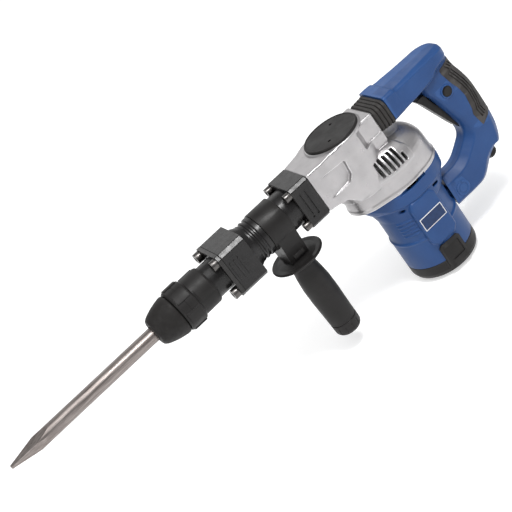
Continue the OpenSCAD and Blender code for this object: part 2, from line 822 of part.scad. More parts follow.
module clamp_collar() {
  color([0.15, 0.15, 0.15]) difference() {
    union() {
      rod_x(band_rear, band_front, 27);
      translate([band_rear, 0, 0]) rotate([90, 0, 90]) linear_extrude(band_front - band_rear - 4)
        polygon([[-25.5, -6], [25.5, -6], [20, -30], [15, -49.5], [-15, -49.5], [-20, -30]]);
      box(-191, -177, 10, 17.5, -45.5, -40.5);
    }
    rod_x(band_rear - 1, band_front + 1, seat_r + running);
    rod_z(side_x, -60, 0, 4);
    translate([side_x, 0, -33.6]) cylinder(h = 14, r = 7.7, $fn = 6);
  }
}

module clamp_bolt() {
  color("silver") difference() {
    union() {
      rod_z(side_x, -88, -30, 4);
      translate([side_x, 0, -33.5]) cylinder(h = 5.5, r = 7.5, $fn = 6);
    }
    rod_x(band_rear, band_front, seat_r + 2);
  }
}

module hand_guard() {
  color([0.16, 0.16, 0.16]) turned_z(side_x, [
    [-49.5, 4], [-49.5, 17], [-51.5, 26], [-51, 32.4], [-52, 34], [-53.5, 34], [-55, 31], [-57, 17], [-57, 4]
  ]);
}

module side_grip() {
  low = -side_grip_depth;
  color([0.16, 0.16, 0.16]) difference() {
    union() {
      turned_z(side_x, [
        [-57.3, 0], [-57.3, 14.4], [-64, 14.4], [-72, 15.2], [-92, side_grip_r], [-112, side_grip_r],
        [low + 18, side_grip_r - 0.8], [low + 17.5, side_grip_r - 1.6], [low + 16.8, side_grip_r - 1.6],
        [low + 16.2, side_grip_r - 0.6], [low + 4, side_grip_r - 1.4], [low, side_grip_r - 5], [low, 0]
      ]);
      for (turn = [0:30:330]) translate([side_x, 0, 0]) rotate([0, 0, turn])
        box(side_grip_r - 3, side_grip_r - 0.2, -1.6, 1.6, low + 4, low + 15);
    }
    rod_z(side_x, -92, -57, 4 + running);
  }
}

// ---- rear handle ----

module handle_blank(y0, y1) {
  last = len(arm_half_plan) - 1;
  plan = concat(arm_half_plan, [for (i = [last:-1:0]) [arm_half_plan[i][0], -arm_half_plan[i][1]]]);
  intersection() {
    slab(handle_outline, y0, y1);
    union() {
      intersection() {
        linear_extrude(60) polygon(plan);
        slab(arm_zone, -40, 40);
      }
      box(-500, -360, -grip_h, grip_h, -160, 15);
    }
  }
}

module overmould_space() {
  difference() {
    intersection() {
      slab(overmould_outline, -grip_h - 0.01, grip_h + 0.01);
      slab(handle_outline, -40, 40);
    }
    translate([2.6, 0, 0]) slab(handle_outline, -grip_h + 2.4, grip_h - 2.4);
    slab([[-440, 12], [-466, 12], [-466, -12], [-440, -12]], -grip_h + 2.4, grip_h - 2.4);
  }
}

// One half of the rear handle, from the middle plane out to the given side
module handle_shell(side) {
  y0 = side > 0 ? 0 : -40;
  y1 = side > 0 ? 40 : 0;
  difference() {
    union() {
      difference() {
        handle_blank(y0, y1);
        slab(handle_hollow, -grip_h + grip_wall, grip_h - grip_wall);
        box(-384, -360, -24, 24, 4.6, 27);
        slab([[-430, -4.5], [-400, -4.5], [-424, -76], [-452, -76]], -7.5, 7.5);
      }
      half_boss(side, screw_places, 0, 4.5);
      half_boss(side, [trigger_pivot], 7.8, 5.3);
      for (z = [-56, -38]) mirror([0, side > 0 ? 0 : 1, 0]) box(-463, -443, 9.1, grip_h - 3, z, z + 3);
    }
    overmould_space();
    rod_y(trigger_pivot[0], trigger_pivot[1], -10, 10, 3);
    rod_y(button_pos[0], button_pos[1], 5, 30, button_r + 0.4);
    slab([[-360, -141], [-401, -141], [-406, -135], [-406, -125], [-401, -119], [-360, -119]], -8.6, 8.6);
    rod_z(motor_x, -160, -60, motor_r + 2.6);
    rod_y(pivot_x, pivot_z, -15, 15, pin_r + running);
    gland_hole(-9, 22, 8);
    gland_hole(-9, 7, 10);
    gland_hole(-16, 9, 5);
    for (p = screw_places) {
      rod_y(p[0], p[1], -50, 11, 1.6);
      rod_y(p[0], p[1], -50, -grip_h + 6, 3.6);
    }
  }
}

// Bosses on the inside of one half, from y_in out to its wall
module half_boss(side, places, y_in, r) {
  y_out = grip_h - 3;
  for (p = places) rod_y(p[0], p[1], side > 0 ? y_in : -y_out, side > 0 ? y_out : -y_in, r);
}

module gland_hole(start, length, r) {
  translate(gland_pos) rotate([0, gland_tilt, 0]) translate([0, 0, start]) cylinder(h = length, r = r);
}

module rear_handle_left() { color([0.13, 0.29, 0.55]) handle_shell(1); }

module rear_handle_right() { color([0.13, 0.29, 0.55]) handle_shell(-1); }

module grip_overmould() { color([0.15, 0.14, 0.14]) overmould_space(); }

module handle_screws() {
  color("silver") for (p = screw_places) pan_screw_y(p[0], p[1], -grip_h + 3.8, grip_h + 6, 1.6, 3.4);
}

module switch() {
  color([0.2, 0.2, 0.2]) {
    box(-462, -444, -9, 9, -60, -30);
    translate([-444, 0, -45]) rotate([0, 90, 0]) cylinder(h = 5.6, r = 2);
  }
}

module trigger() {
  color([0.14, 0.13, 0.13]) {
    slab([
      [-409, -9], [-407.5, -10.5], [-412.8, -18.8], [-422.4, -41.1], [-431, -61.1], [-435, -70],
      [-438, -72], [-443, -71], [-446, -67], [-443, -62], [-435.5, -47], [-424.5, -24], [-421, -10],
      [-418, -9]
    ], -7, 7);
    rod_y(trigger_pivot[0], trigger_pivot[1], -9.7, 9.7, 3 - running);
  }
}

module trigger_spring() {
  color("silver") translate([0, 0, -33]) coil_x(-443.9, -431, 3.4, 0.5, 5);
}

module lock_button() {
  color([0.14, 0.13, 0.13]) {
    rod_y(button_pos[0], button_pos[1], 13, grip_h + 1.6, button_r);
    rod_y(button_pos[0], button_pos[1], grip_h + 1.5, grip_h + 2.4, button_r - 1);
    rod_y(button_pos[0], button_pos[1], 4, 13.1, 3);
  }
}

module cable_gland() {
  color([0.13, 0.13, 0.13]) translate(gland_pos) rotate([0, gland_tilt, 0]) rotate_extrude() polygon([
    [gland_bore_r, -8.5], [9.6, -8.5], [9.6, -2.5], [7.9, -2.5],
    [7.9, 3.8], [7.2, 5.8], [6, 6.6], [gland_bore_r, 6.6]
  ]);
}

// One step of the bellows, made deeper by grow and cut back by groove
module rib(x0, x1, grow, groove) {
  h = 26.6 + grow - groove;
  box(x0, x1, -h, h, groove - 0.6 - grow * 0.5, 30.4 + grow * 0.4 - groove);
}

module bellows() {
  ribs = 4;
  front = neck_rear - 0.3;
  pitch = 19.4 / ribs;
  color([0.15, 0.14, 0.14]) difference() {
    for (i = [0:ribs - 1]) {
      grow = i * 0.7;
      rear = front - (i + 1) * pitch;
      rib(rear, rear + pitch * 0.6, grow, 0);
      rib(rear - 0.1, rear + pitch, grow, 1.2);
    }
    box(front - 30, front + 1, -22, 22, 4, 26);
  }
}

module damper_spring() {
  color("silver") translate([0, 0, 15]) coil_x(-383, -343, 8, 1.3, 5);
}

module pivot_pin() {
  color("silver") rod_y(pivot_x, pivot_z, -14.5, 14.5, pin_r);
}

chisel();
dust_cap();
locking_sleeve();
cam_ring();
locking_bar_left();
locking_bar_right();
sleeve_spring();
tool_holder();
front_housing();
front_screws();
beat_piece();
recoil_ring();
barrel();
barrel_screws();
cylinder_liner();
ram();
ram_ring();
piston();
piston_ring();
rod_pins();
connecting_rod();
crankshaft();
crank_gear();
crank_bearings();
gear_housing();
service_cap();
bearing_plate();
pinion();
armature_shaft();
armature_core();
armature_winding();
commutator();
cooling_fan();
motor_bearings();
field_core();
field_coils();
brush_carrier();
carbon_brushes();
motor_housing();
label_plate();
end_cap();
end_cap_screws();
clamp_collar();
clamp_bolt();
hand_guard();
side_grip();
rear_handle_left();
rear_handle_right();
grip_overmould();
handle_screws();
switch();
trigger();
trigger_spring();
lock_button();
cable_gland();
bellows();
damper_spring();
pivot_pin();
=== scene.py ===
"""Electric demolition hammer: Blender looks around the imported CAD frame.

Lengths are in millimetres and become metres when a mesh is made. The frame is the CAD's: X along the
impact axis towards the point, Z up, Y towards the lock button.
"""

import json
import math

import bmesh
import bpy
from mathutils import Matrix, Vector


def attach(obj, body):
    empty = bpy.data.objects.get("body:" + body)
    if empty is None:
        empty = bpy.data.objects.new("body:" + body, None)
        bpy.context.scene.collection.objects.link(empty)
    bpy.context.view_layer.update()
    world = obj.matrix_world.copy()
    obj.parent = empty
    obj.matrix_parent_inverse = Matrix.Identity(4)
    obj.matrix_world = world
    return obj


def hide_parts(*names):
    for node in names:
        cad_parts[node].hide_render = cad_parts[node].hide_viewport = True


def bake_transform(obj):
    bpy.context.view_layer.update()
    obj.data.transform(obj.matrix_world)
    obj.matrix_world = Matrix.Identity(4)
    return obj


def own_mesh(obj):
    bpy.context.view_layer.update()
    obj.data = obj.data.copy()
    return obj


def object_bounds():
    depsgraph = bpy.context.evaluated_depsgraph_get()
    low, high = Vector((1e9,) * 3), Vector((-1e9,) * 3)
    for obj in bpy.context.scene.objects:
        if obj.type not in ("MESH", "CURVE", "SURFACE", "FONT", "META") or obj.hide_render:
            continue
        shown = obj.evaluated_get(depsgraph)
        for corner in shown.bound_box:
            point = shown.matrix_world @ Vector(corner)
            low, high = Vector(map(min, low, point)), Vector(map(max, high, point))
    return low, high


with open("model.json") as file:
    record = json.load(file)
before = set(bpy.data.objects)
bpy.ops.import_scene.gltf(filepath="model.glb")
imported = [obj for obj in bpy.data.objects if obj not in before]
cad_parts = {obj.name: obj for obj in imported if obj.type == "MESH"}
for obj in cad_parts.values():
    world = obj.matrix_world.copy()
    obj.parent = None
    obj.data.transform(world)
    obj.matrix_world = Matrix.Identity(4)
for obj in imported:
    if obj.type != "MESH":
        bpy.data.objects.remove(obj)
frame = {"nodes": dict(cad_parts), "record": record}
cad_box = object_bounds()
nodes = frame["nodes"]

MM = 0.001
EDGE_ANGLE = math.radians(32)


# ---- materials ----


class Finish:
    """One procedural material, built up by calls that add colour, roughness and relief."""

    def __init__(self, name, color, roughness, metallic=0.0):
        self.material = bpy.data.materials.new(name)
        self.material.use_nodes = True
        self.tree = self.material.node_tree
        self.shader = self.tree.nodes["Principled BSDF"]
        self.shader.inputs["Roughness"].default_value = roughness
        self.shader.inputs["Metallic"].default_value = metallic
        self.place = self.tree.nodes.new("ShaderNodeTexCoord").outputs["Object"]
        self.color = self.constant(color)
        self.rough = None
        self.normal = None

    def link(self, a, b):
        self.tree.links.new(a, b)

    def constant(self, color):
        node = self.tree.nodes.new("ShaderNodeRGB")
        node.outputs[0].default_value = (*color, 1)
        return node.outputs[0]

    def noise(self, size, stretch=(1, 1, 1), detail=3.0):
        """Noise from 0 to 1 with features of this size in millimetres, drawn out by stretch."""
        mapping = self.tree.nodes.new("ShaderNodeMapping")
        mapping.inputs["Scale"].default_value = [1 / s for s in stretch]
        texture = self.tree.nodes.new("ShaderNodeTexNoise")
        texture.inputs["Scale"].default_value = 1000 / size
        texture.inputs["Detail"].default_value = detail
        self.link(self.place, mapping.inputs["Vector"])
        self.link(mapping.outputs["Vector"], texture.inputs["Vector"])
        return texture.outputs["Fac"]

    def cells(self, size):
        """Rounded cells of this size, as on a spark-eroded mould or a cast skin."""
        texture = self.tree.nodes.new("ShaderNodeTexVoronoi")
        texture.feature = "SMOOTH_F1"
        texture.inputs["Scale"].default_value = 1000 / size
        self.link(self.place, texture.inputs["Vector"])
        return texture.outputs["Distance"]

    def edges(self, low=0.52, high=0.6):
        """1 on convex edges and 0 elsewhere: the mask for the highlights painted along edges."""
        geometry = self.tree.nodes.new("ShaderNodeNewGeometry")
        return self.range(geometry.outputs["Pointiness"], low, high, 0, 1)

    def math(self, operation, a, b=None):
        node = self.tree.nodes.new("ShaderNodeMath")
        node.operation = operation
        self.link(a, node.inputs[0])
        if isinstance(b, float):
            node.inputs[1].default_value = b
        elif b is not None:
            self.link(b, node.inputs[1])
        return node.outputs[0]

    def rim(self, across, up):
        """1 near the border of an upright plate, from these shares of its half width and half height."""
        box = self.tree.nodes.new("ShaderNodeTexCoord").outputs["Generated"]
        split = self.tree.nodes.new("ShaderNodeSeparateXYZ")
        self.link(box, split.inputs[0])
        sides = []
        for axis, share in (("X", across), ("Z", up)):
            from_middle = self.math("ABSOLUTE", self.math("SUBTRACT", split.outputs[axis], 0.5))
            sides.append(self.math("GREATER_THAN", from_middle, share / 2))
        return self.math("MAXIMUM", *sides)

    def range(self, value, low, high, to_low, to_high):
        node = self.tree.nodes.new("ShaderNodeMapRange")
        node.inputs["From Min"].default_value = low
        node.inputs["From Max"].default_value = high
        node.inputs["To Min"].default_value = to_low
        node.inputs["To Max"].default_value = to_high
        self.link(value, node.inputs["Value"])
        return node.outputs["Result"]

    def tint(self, mask, color, low=0.4, high=0.7, strength=1.0):
        """Moves the colour towards another one where the mask is high."""
        mix = self.tree.nodes.new("ShaderNodeMix")
        mix.data_type = "RGBA"
        self.link(self.range(mask, low, high, 0, strength), mix.inputs["Factor"])
        self.link(self.color, mix.inputs["A"])
        mix.inputs["B"].default_value = (*color, 1)
        self.color = mix.outputs["Result"]
        return self

    def polish(self, mask, low, high):
        """Roughness runs from low to high with the mask."""
        self.rough = self.range(mask, 0.3, 0.7, low, high)
        return self

    def relief(self, height, depth, strength=1.0):
        """Bump of this depth in millimetres, on top of what is there."""
        bump = self.tree.nodes.new("ShaderNodeBump")
        bump.inputs["Distance"].default_value = depth * MM
        bump.inputs["Strength"].default_value = strength
        self.link(height, bump.inputs["Height"])
        if self.normal is not None:
            self.link(self.normal, bump.inputs["Normal"])
        self.normal = bump.outputs["Normal"]
        return self

    def done(self, **sockets):
        self.link(self.color, self.shader.inputs["Base Color"])
        if self.rough is not None:
            self.link(self.rough, self.shader.inputs["Roughness"])
        if self.normal is not None:
            self.link(self.normal, self.shader.inputs["Normal"])
        for name, value in sockets.items():
            self.shader.inputs[name.replace("_", " ")].default_value = value
        return self.material


def moulded_plastic(name, color, pale, grain, roughness, shine=0.3):
    """Moulding with a fine eroded grain, and a painted highlight that makes it slightly paler and shinier
    on its edges.
    """
    f = Finish(name, color, roughness)
    f.tint(f.noise(38), pale, 0.35, 0.75, 0.35)
    f.tint(f.noise(1.6, detail=4), pale, 0.55, 0.8, 0.15)
    # painted highlight: paler colour along convex edges, standing in for light caught there
    f.tint(f.edges(), pale, 0, 1, 0.6)
    f.polish(f.noise(14, detail=4), roughness - 0.06, roughness + 0.08)
    f.relief(f.cells(grain), 0.05, 0.35)
    f.relief(f.noise(grain * 0.6, detail=2), 0.03, 0.4)
    return f.done(Specular_IOR_Level=shine)


def blue_plastic():
    return moulded_plastic("blue_moulding", (0.0105, 0.046, 0.155), (0.024, 0.082, 0.245), 0.9, 0.4)


def black_plastic(name="black_moulding", tone=0.012, roughness=0.46):
    dark = (tone, tone * 0.93, tone * 0.92)
    pale = (tone * 2.2, tone * 2.1, tone * 2.05)
    return moulded_plastic(name, dark, pale, 0.8, roughness, 0.2)


def soft_rubber(name="soft_rubber", tone=0.016):
    f = Finish(name, (tone, tone * 0.9, tone * 0.86), 0.62)
    f.tint(f.noise(9, detail=5), (tone * 2, tone * 1.9, tone * 1.85), 0.45, 0.8, 0.5)
    # painted highlight: paler colour along convex edges
    f.tint(f.edges(), (tone * 3, tone * 2.8, tone * 2.7), 0, 1, 0.5)
    f.polish(f.noise(5), 0.5, 0.72)
    f.relief(f.noise(0.55, detail=3), 0.06, 0.5)
    return f.done(Specular_IOR_Level=0.2, Sheen_Weight=0.04, Sheen_Roughness=0.5)


def black_casting():
    """Satin black coat over cast steel: orange peel, and a painted highlight that makes it pale along its
    edges.
    """
    f = Finish("black_coated_casting", (0.008, 0.0075, 0.0078), 0.3)
    f.tint(f.noise(16, detail=5), (0.02, 0.019, 0.019), 0.45, 0.8, 0.5)
    # painted highlight: pale colour along convex edges
    f.tint(f.edges(0.53, 0.62), (0.1, 0.095, 0.09), 0, 1, 0.3)
    f.polish(f.noise(6, detail=4), 0.22, 0.38)
    f.relief(f.noise(1.3, detail=2), 0.08, 0.5)
    f.relief(f.noise(9, detail=2), 0.25, 0.2)
    return f.done(Specular_IOR_Level=0.28, Coat_Weight=0.08, Coat_Roughness=0.2)


def cast_aluminium():
    """Silver coated die casting: fine skin, soft stains and bright edges from a painted highlight."""
    f = Finish("cast_aluminium", (0.37, 0.36, 0.365), 0.32, 0.85)
    f.tint(f.noise(26, detail=4), (0.47, 0.455, 0.46), 0.35, 0.7, 0.7)
    f.tint(f.noise(7, detail=5), (0.26, 0.245, 0.24), 0.6, 0.85, 0.4)
    # painted highlight: near-white colour along convex edges
    f.tint(f.edges(0.51, 0.56), (0.85, 0.85, 0.85), 0, 1, 0.7)
    f.polish(f.noise(11, detail=4), 0.27, 0.42)
    f.relief(f.noise(0.7, detail=3), 0.05, 0.5)
    f.relief(f.noise(12, detail=2), 0.5, 0.12)
    return f.done()


def forged_steel():
    """Bare chisel steel, drawn along its length, with heat tint and fine scale."""
    f = Finish("forged_chisel_steel", (0.2, 0.175, 0.165), 0.34, 0.9)
    f.tint(f.noise(1.1, (26, 1, 1), 4), (0.42, 0.38, 0.36), 0.4, 0.75, 0.7)
    f.tint(f.noise(9, (3, 1, 1), 5), (0.12, 0.095, 0.085), 0.55, 0.8, 0.6)
    f.tint(f.noise(0.8, detail=2), (0.12, 0.1, 0.09), 0.68, 0.8, 0.4)
    f.polish(f.noise(1.6, (18, 1, 1), 4), 0.26, 0.46)
    f.relief(f.noise(0.5, (30, 1, 1), 3), 0.05, 0.5)
    f.relief(f.noise(5, detail=3), 0.12, 0.3)
    return f.done()


def turned_steel(name, color, roughness=0.3):
    f = Finish(name, color, roughness, 1.0)
    f.tint(f.noise(6, detail=4), [c * 0.6 for c in color], 0.5, 0.8, 0.6)
    # painted highlight: brighter colour along convex edges
    f.tint(f.edges(), [min(1, c * 2) for c in color], 0, 1, 0.5)
    f.polish(f.noise(2.5, detail=4), roughness - 0.1, roughness + 0.12)
    f.relief(f.noise(0.35, (1, 8, 8), 2), 0.03, 0.4)
    return f.done()


def laminated_steel():
    f = Finish("laminated_steel", (0.25, 0.25, 0.26), 0.5, 0.8)
    f.tint(f.noise(0.7, (60, 60, 1), 1), (0.08, 0.08, 0.085), 0.45, 0.6, 0.8)
    f.relief(f.noise(0.7, (60, 60, 1), 1), 0.1, 0.6)
    return f.done()


def copper_wire():
    f = Finish("enamelled_copper", (0.55, 0.2, 0.07), 0.32, 0.9)
    f.tint(f.noise(1.2, (6, 6, 1), 2), (0.25, 0.07, 0.02), 0.45, 0.65, 0.8)
    f.relief(f.noise(1.2, (6, 6, 1), 1), 0.2, 0.8)
    return f.done(Coat_Weight=0.5)


def label_finish():
    """Blank label plate: dark blue with a white line round its edge."""
    f = Finish("label_print", (0.006, 0.022, 0.075), 0.3)
    f.tint(f.noise(6, detail=4), (0.015, 0.045, 0.14), 0.4, 0.8, 0.6)
    f.tint(f.rim(0.95, 0.9), (0.7, 0.7, 0.7), 0.4, 0.6)
    f.relief(f.noise(0.9, detail=2), 0.02, 0.3)
    return f.done(Specular_IOR_Level=0.3)


def floor_finish():
    f = Finish("pale_floor", (0.7, 0.7, 0.7), 0.6)
    f.tint(f.noise(220, detail=3), (0.74, 0.74, 0.74), 0.3, 0.7, 0.6)
    return f.done(Specular_IOR_Level=0.1, Emission_Color=(1, 1, 1, 1), Emission_Strength=0.5)


FINISHES = {
    "chisel_steel": forged_steel(),
    "black_rubber": soft_rubber("black_rubber", 0.011),
    "black_plastic": black_plastic(),
    "black_casting": black_casting(),
    "collar_black": black_plastic("collar_moulding", 0.011, 0.38),
    "grip_black": black_plastic("grip_moulding", 0.014, 0.46),
    "bellows_rubber": soft_rubber("bellows_rubber", 0.02),
    "overmould_rubber": soft_rubber("overmould_rubber", 0.03),
    "control_black": black_plastic("control_moulding", 0.011, 0.36),
    "blue_plastic": blue_plastic(),
    "label_blue": label_finish(),
    "cast_aluminium": cast_aluminium(),
    "zinc_steel": turned_steel("dark_plated_steel", (0.1, 0.095, 0.092), 0.3),
    "ground_steel": turned_steel("ground_steel", (0.55, 0.55, 0.55), 0.28),
    "piston_alloy": turned_steel("piston_alloy", (0.68, 0.68, 0.68), 0.35),
    "laminated_steel": laminated_steel(),
    "copper_wire": copper_wire(),
    "carbon": black_plastic("carbon_brush", 0.014, 0.55),
}


# ---- mesh helpers ----


def solid(bm):
    """A working object from a bmesh drawn in millimetres."""
    bmesh.ops.scale(bm, vec=(MM, MM, MM), verts=bm.verts)
    bmesh.ops.recalc_face_normals(bm, faces=bm.faces)
    mesh = bpy.data.meshes.new("part")
    bm.to_mesh(mesh)
    bm.free()
    part = bpy.data.objects.new("part", mesh)
    bpy.context.scene.collection.objects.link(part)
    return part


def bake(part):
    """Turns a part's modifiers into mesh."""
    graph = bpy.context.evaluated_depsgraph_get()
    mesh = bpy.data.meshes.new_from_object(part.evaluated_get(graph))
    part.modifiers.clear()
    old = part.data
    part.data = mesh
    bpy.data.meshes.remove(old)
    return part


def combine(part, operation, others):
    for other in others:
        step = part.modifiers.new("combine", "BOOLEAN")
        step.operation = operation
        step.solver = "MANIFOLD"
        step.object = other
        bake(part)
        bpy.data.objects.remove(other)
    return part


def join(part, *others):
    return combine(part, "UNION", others)


def cut(part, *others):
    return combine(part, "DIFFERENCE", others)


def common(part, *others):
    return combine(part, "INTERSECT", others)


def copy_of(part):
    twin = part.copy()
    twin.data = part.data.copy()
    bpy.context.scene.collection.objects.link(twin)
    return twin


def round_corners(points, radius, steps=4):
    """The outline with each corner swung through an arc, as tight as its sides allow."""
    rounded = []
    count = len(points)
    for i, corner in enumerate(points):
        corner = Vector(corner)
        before = Vector(points[i - 1]) - corner
        after = Vector(points[(i + 1) % count]) - corner
        reach = min(radius, before.length * 0.45, after.length * 0.45)
        start = corner + before.normalized() * reach
        end = corner + after.normalized() * reach
        for k in range(steps + 1):
            t = k / steps
            rounded.append(start * (1 - t) ** 2 + corner * 2 * t * (1 - t) + end * t ** 2)
    return rounded


def loft(rings):
    """Closed solid through rings with the same number of points."""
    bm = bmesh.new()
    loops = [[bm.verts.new(p) for p in ring] for ring in rings]
    count = len(loops[0])
    for low, high in zip(loops, loops[1:]):
        for k in range(count):
            n = (k + 1) % count
            bm.faces.new((low[k], low[n], high[n], high[k]))
    bm.faces.new(loops[0])
    bm.faces.new(loops[-1])
    return solid(bm)


PLANES = {
    "xz": lambda a, b, h: (a, h, b),
    "xy": lambda a, b, h: (a, b, h),
    "yz": lambda a, b, h: (h, a, b),
}


def prism(outline, low, high, plane="xz", radius=0):
    """An outline in the named plane, drawn out from low to high across it."""
    points = round_corners(outline, radius) if radius else outline
    place = PLANES[plane]
    return loft([[place(p[0], p[1], h) for p in points] for h in (low, high)])


def block(x0, x1, y0, y1, z0, z1, radius=0):
    part = prism([(x0, z0), (x1, z0), (x1, z1), (x0, z1)], y0, y1)
    return bevelled(part, radius) if radius else part


def bevelled(part, width, segments=3):
    soften(part, width, segments)
    return bake(part)


def lathe(points, axis="x", centre=0, steps=128):
    """Turned solid from (along, radius) points that start and end on the axis.

    The axis is X, or it is Z or Y through centre.
    """
    def place(along, radius, angle):
        c, s = radius * math.cos(angle), radius * math.sin(angle)
        if axis == "x":
            return (along, c, s)
        if axis == "z":
            return (centre + c, s, along)
        return (centre[0] + c, along, centre[1] + s)

    bm = bmesh.new()
    loops = []
    for along, radius in points:
        if radius == 0:
            loops.append([bm.verts.new(place(along, 0, 0))] * steps)
        else:
            turns = [2 * math.pi * k / steps for k in range(steps)]
            loops.append([bm.verts.new(place(along, radius, a)) for a in turns])
    for low, high in zip(loops, loops[1:]):
        for k in range(steps):
            n = (k + 1) % steps
            corners = dict.fromkeys((low[k], low[n], high[n], high[k]))
            if len(corners) > 2:
                bm.faces.new(list(corners))
    return solid(bm)


def rod(low, high, radius, axis="z", centre=0, steps=96):
    return lathe([(low, 0), (low, radius), (high, radius), (high, 0)], axis, centre, steps)


def turned(points, radius=0.8, axis="x", centre=0, steps=160):
    """Turned solid whose profile has rounded corners. The profile starts and ends on the axis."""
    inner = [Vector(p) for p in points]
    profile = [tuple(inner[0])]
    for i in range(1, len(inner) - 1):
        before = inner[i - 1] - inner[i]
        after = inner[i + 1] - inner[i]
        reach = min(radius, before.length * 0.45, after.length * 0.45)
        start = inner[i] + before.normalized() * reach
        end = inner[i] + after.normalized() * reach
        for t in (0, 0.33, 0.67, 1):
            profile.append(tuple(start * (1 - t) ** 2 + inner[i] * 2 * t * (1 - t) + end * t ** 2))
    profile.append(tuple(inner[-1]))
    return lathe(profile, axis, centre, steps)


def cast_skin(part, voxel, passes=3, keep=0.5):
    """Melts a part's edges together as a casting's are."""
    remesh = part.modifiers.new("skin", "REMESH")
    remesh.mode = "VOXEL"
    remesh.voxel_size = voxel * MM
    smooth = part.modifiers.new("smooth", "SMOOTH")
    smooth.factor = 0.5
    smooth.iterations = passes
    thin = part.modifiers.new("thin", "DECIMATE")
    thin.ratio = keep
    return bake(part)


def oval_ring(circles, z, inset=0, count=96):
    """Points round the outside of a set of (x, radius) circles at height z."""
    ring = []
    for k in range(count):
        angle = 2 * math.pi * (k + 0.5) / count
        dx, dy = math.cos(angle), math.sin(angle)
        x, radius = max(circles, key=lambda c: c[0] * dx + c[1])
        ring.append((x + (radius - inset) * dx, (radius - inset) * dy, z))
    return ring


def mirrored(part):
    """The same part on the other side, at -Y."""
    twin = copy_of(part)
    twin.data.transform(Matrix.Scale(-1, 4, (0, 1, 0)))
    twin.data.flip_normals()
    return twin


def soften(piece, width, segments=3):
    bevel = piece.modifiers.new("bevel", "BEVEL")
    bevel.width = width * MM
    bevel.segments = segments
    bevel.limit_method = "ANGLE"
    bevel.angle_limit = EDGE_ANGLE
    bevel.use_clamp_overlap = True
    bevel.harden_normals = True


def add(part, name, slot, body, *replaced):
    """Makes a finished part one piece of the object, standing for these CAD nodes."""
    part.name = name
    part.data.name = name
    part.data.shade_smooth()
    part.data.set_sharp_from_angle(angle=EDGE_ANGLE)
    normals = part.modifiers.new("normals", "WEIGHTED_NORMAL")
    normals.keep_sharp = True
    normals.weight = 90
    part.data.materials.clear()
    part.data.materials.append(FINISHES[slot])
    if body:
        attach(part, body)
    if replaced:
        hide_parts(*replaced)
    return part


def keep_cad(name, slot, bevel):
    """Shows a CAD node with its edges softened and its own finish."""
    node = nodes[name]
    node.data.materials.clear()
    node.data.materials.append(FINISHES[slot])
    if bevel:
        weld = node.modifiers.new("weld", "WELD")
        weld.merge_threshold = 0.01 * MM
        soften(node, bevel)


# ---- places taken from the design, in millimetres ----

CRANK_X = -302.3
MOTOR_X = -334.175
SIDE_X = -184
PIVOT = (-394, -130)
BUTTON = (-442.6, -20.8)
GLAND = (-454.5, -128)
GLAND_TILT = 210
TRIGGER = (-441, -66)
SEAT_R = 25.1


# ---- gearbox ----

# circles, as (x, radius), that the casting's oval plan goes round
DRUM = [(CRANK_X, 35.5), (MOTOR_X, 47.5), (MOTOR_X - 16, 44.5)]
VENT_COUNT = 6
VENT_PITCH = 6.6
VENT_W = 3.9
REAR_VENT_X = -345.35


def dome(inset, low, top, shoulder=-42, draw=27):
    """Oval drum that is upright to its shoulder and then rounds in to a flat top."""
    rings = [oval_ring(DRUM, low, inset), oval_ring(DRUM, shoulder, inset + 1)]
    steps = 10
    for k in range(1, steps + 1):
        turn = math.pi / 2 * k / steps
        z = shoulder + (top - shoulder) * math.sin(turn)
        rings.append(oval_ring(DRUM, z, inset + 1 + draw * (1 - math.cos(turn))))
    return loft(rings)


def upright_bar(x, half, low, top, near, far, radius):
    """Upright bar with rounded corners, from near to far in Y. It becomes a rib or cuts a slot."""
    outline = [(x - half, low), (x + half, low), (x + half, top), (x - half, top)]
    return prism(outline, near, far, radius=radius)


def joint_slots():
    """Long dark openings on both sides where the casting meets the motor shell."""
    slot = block(-353.5, -312.5, 42.5, 60, -66.6, -61.6)
    return mirrored(slot), slot


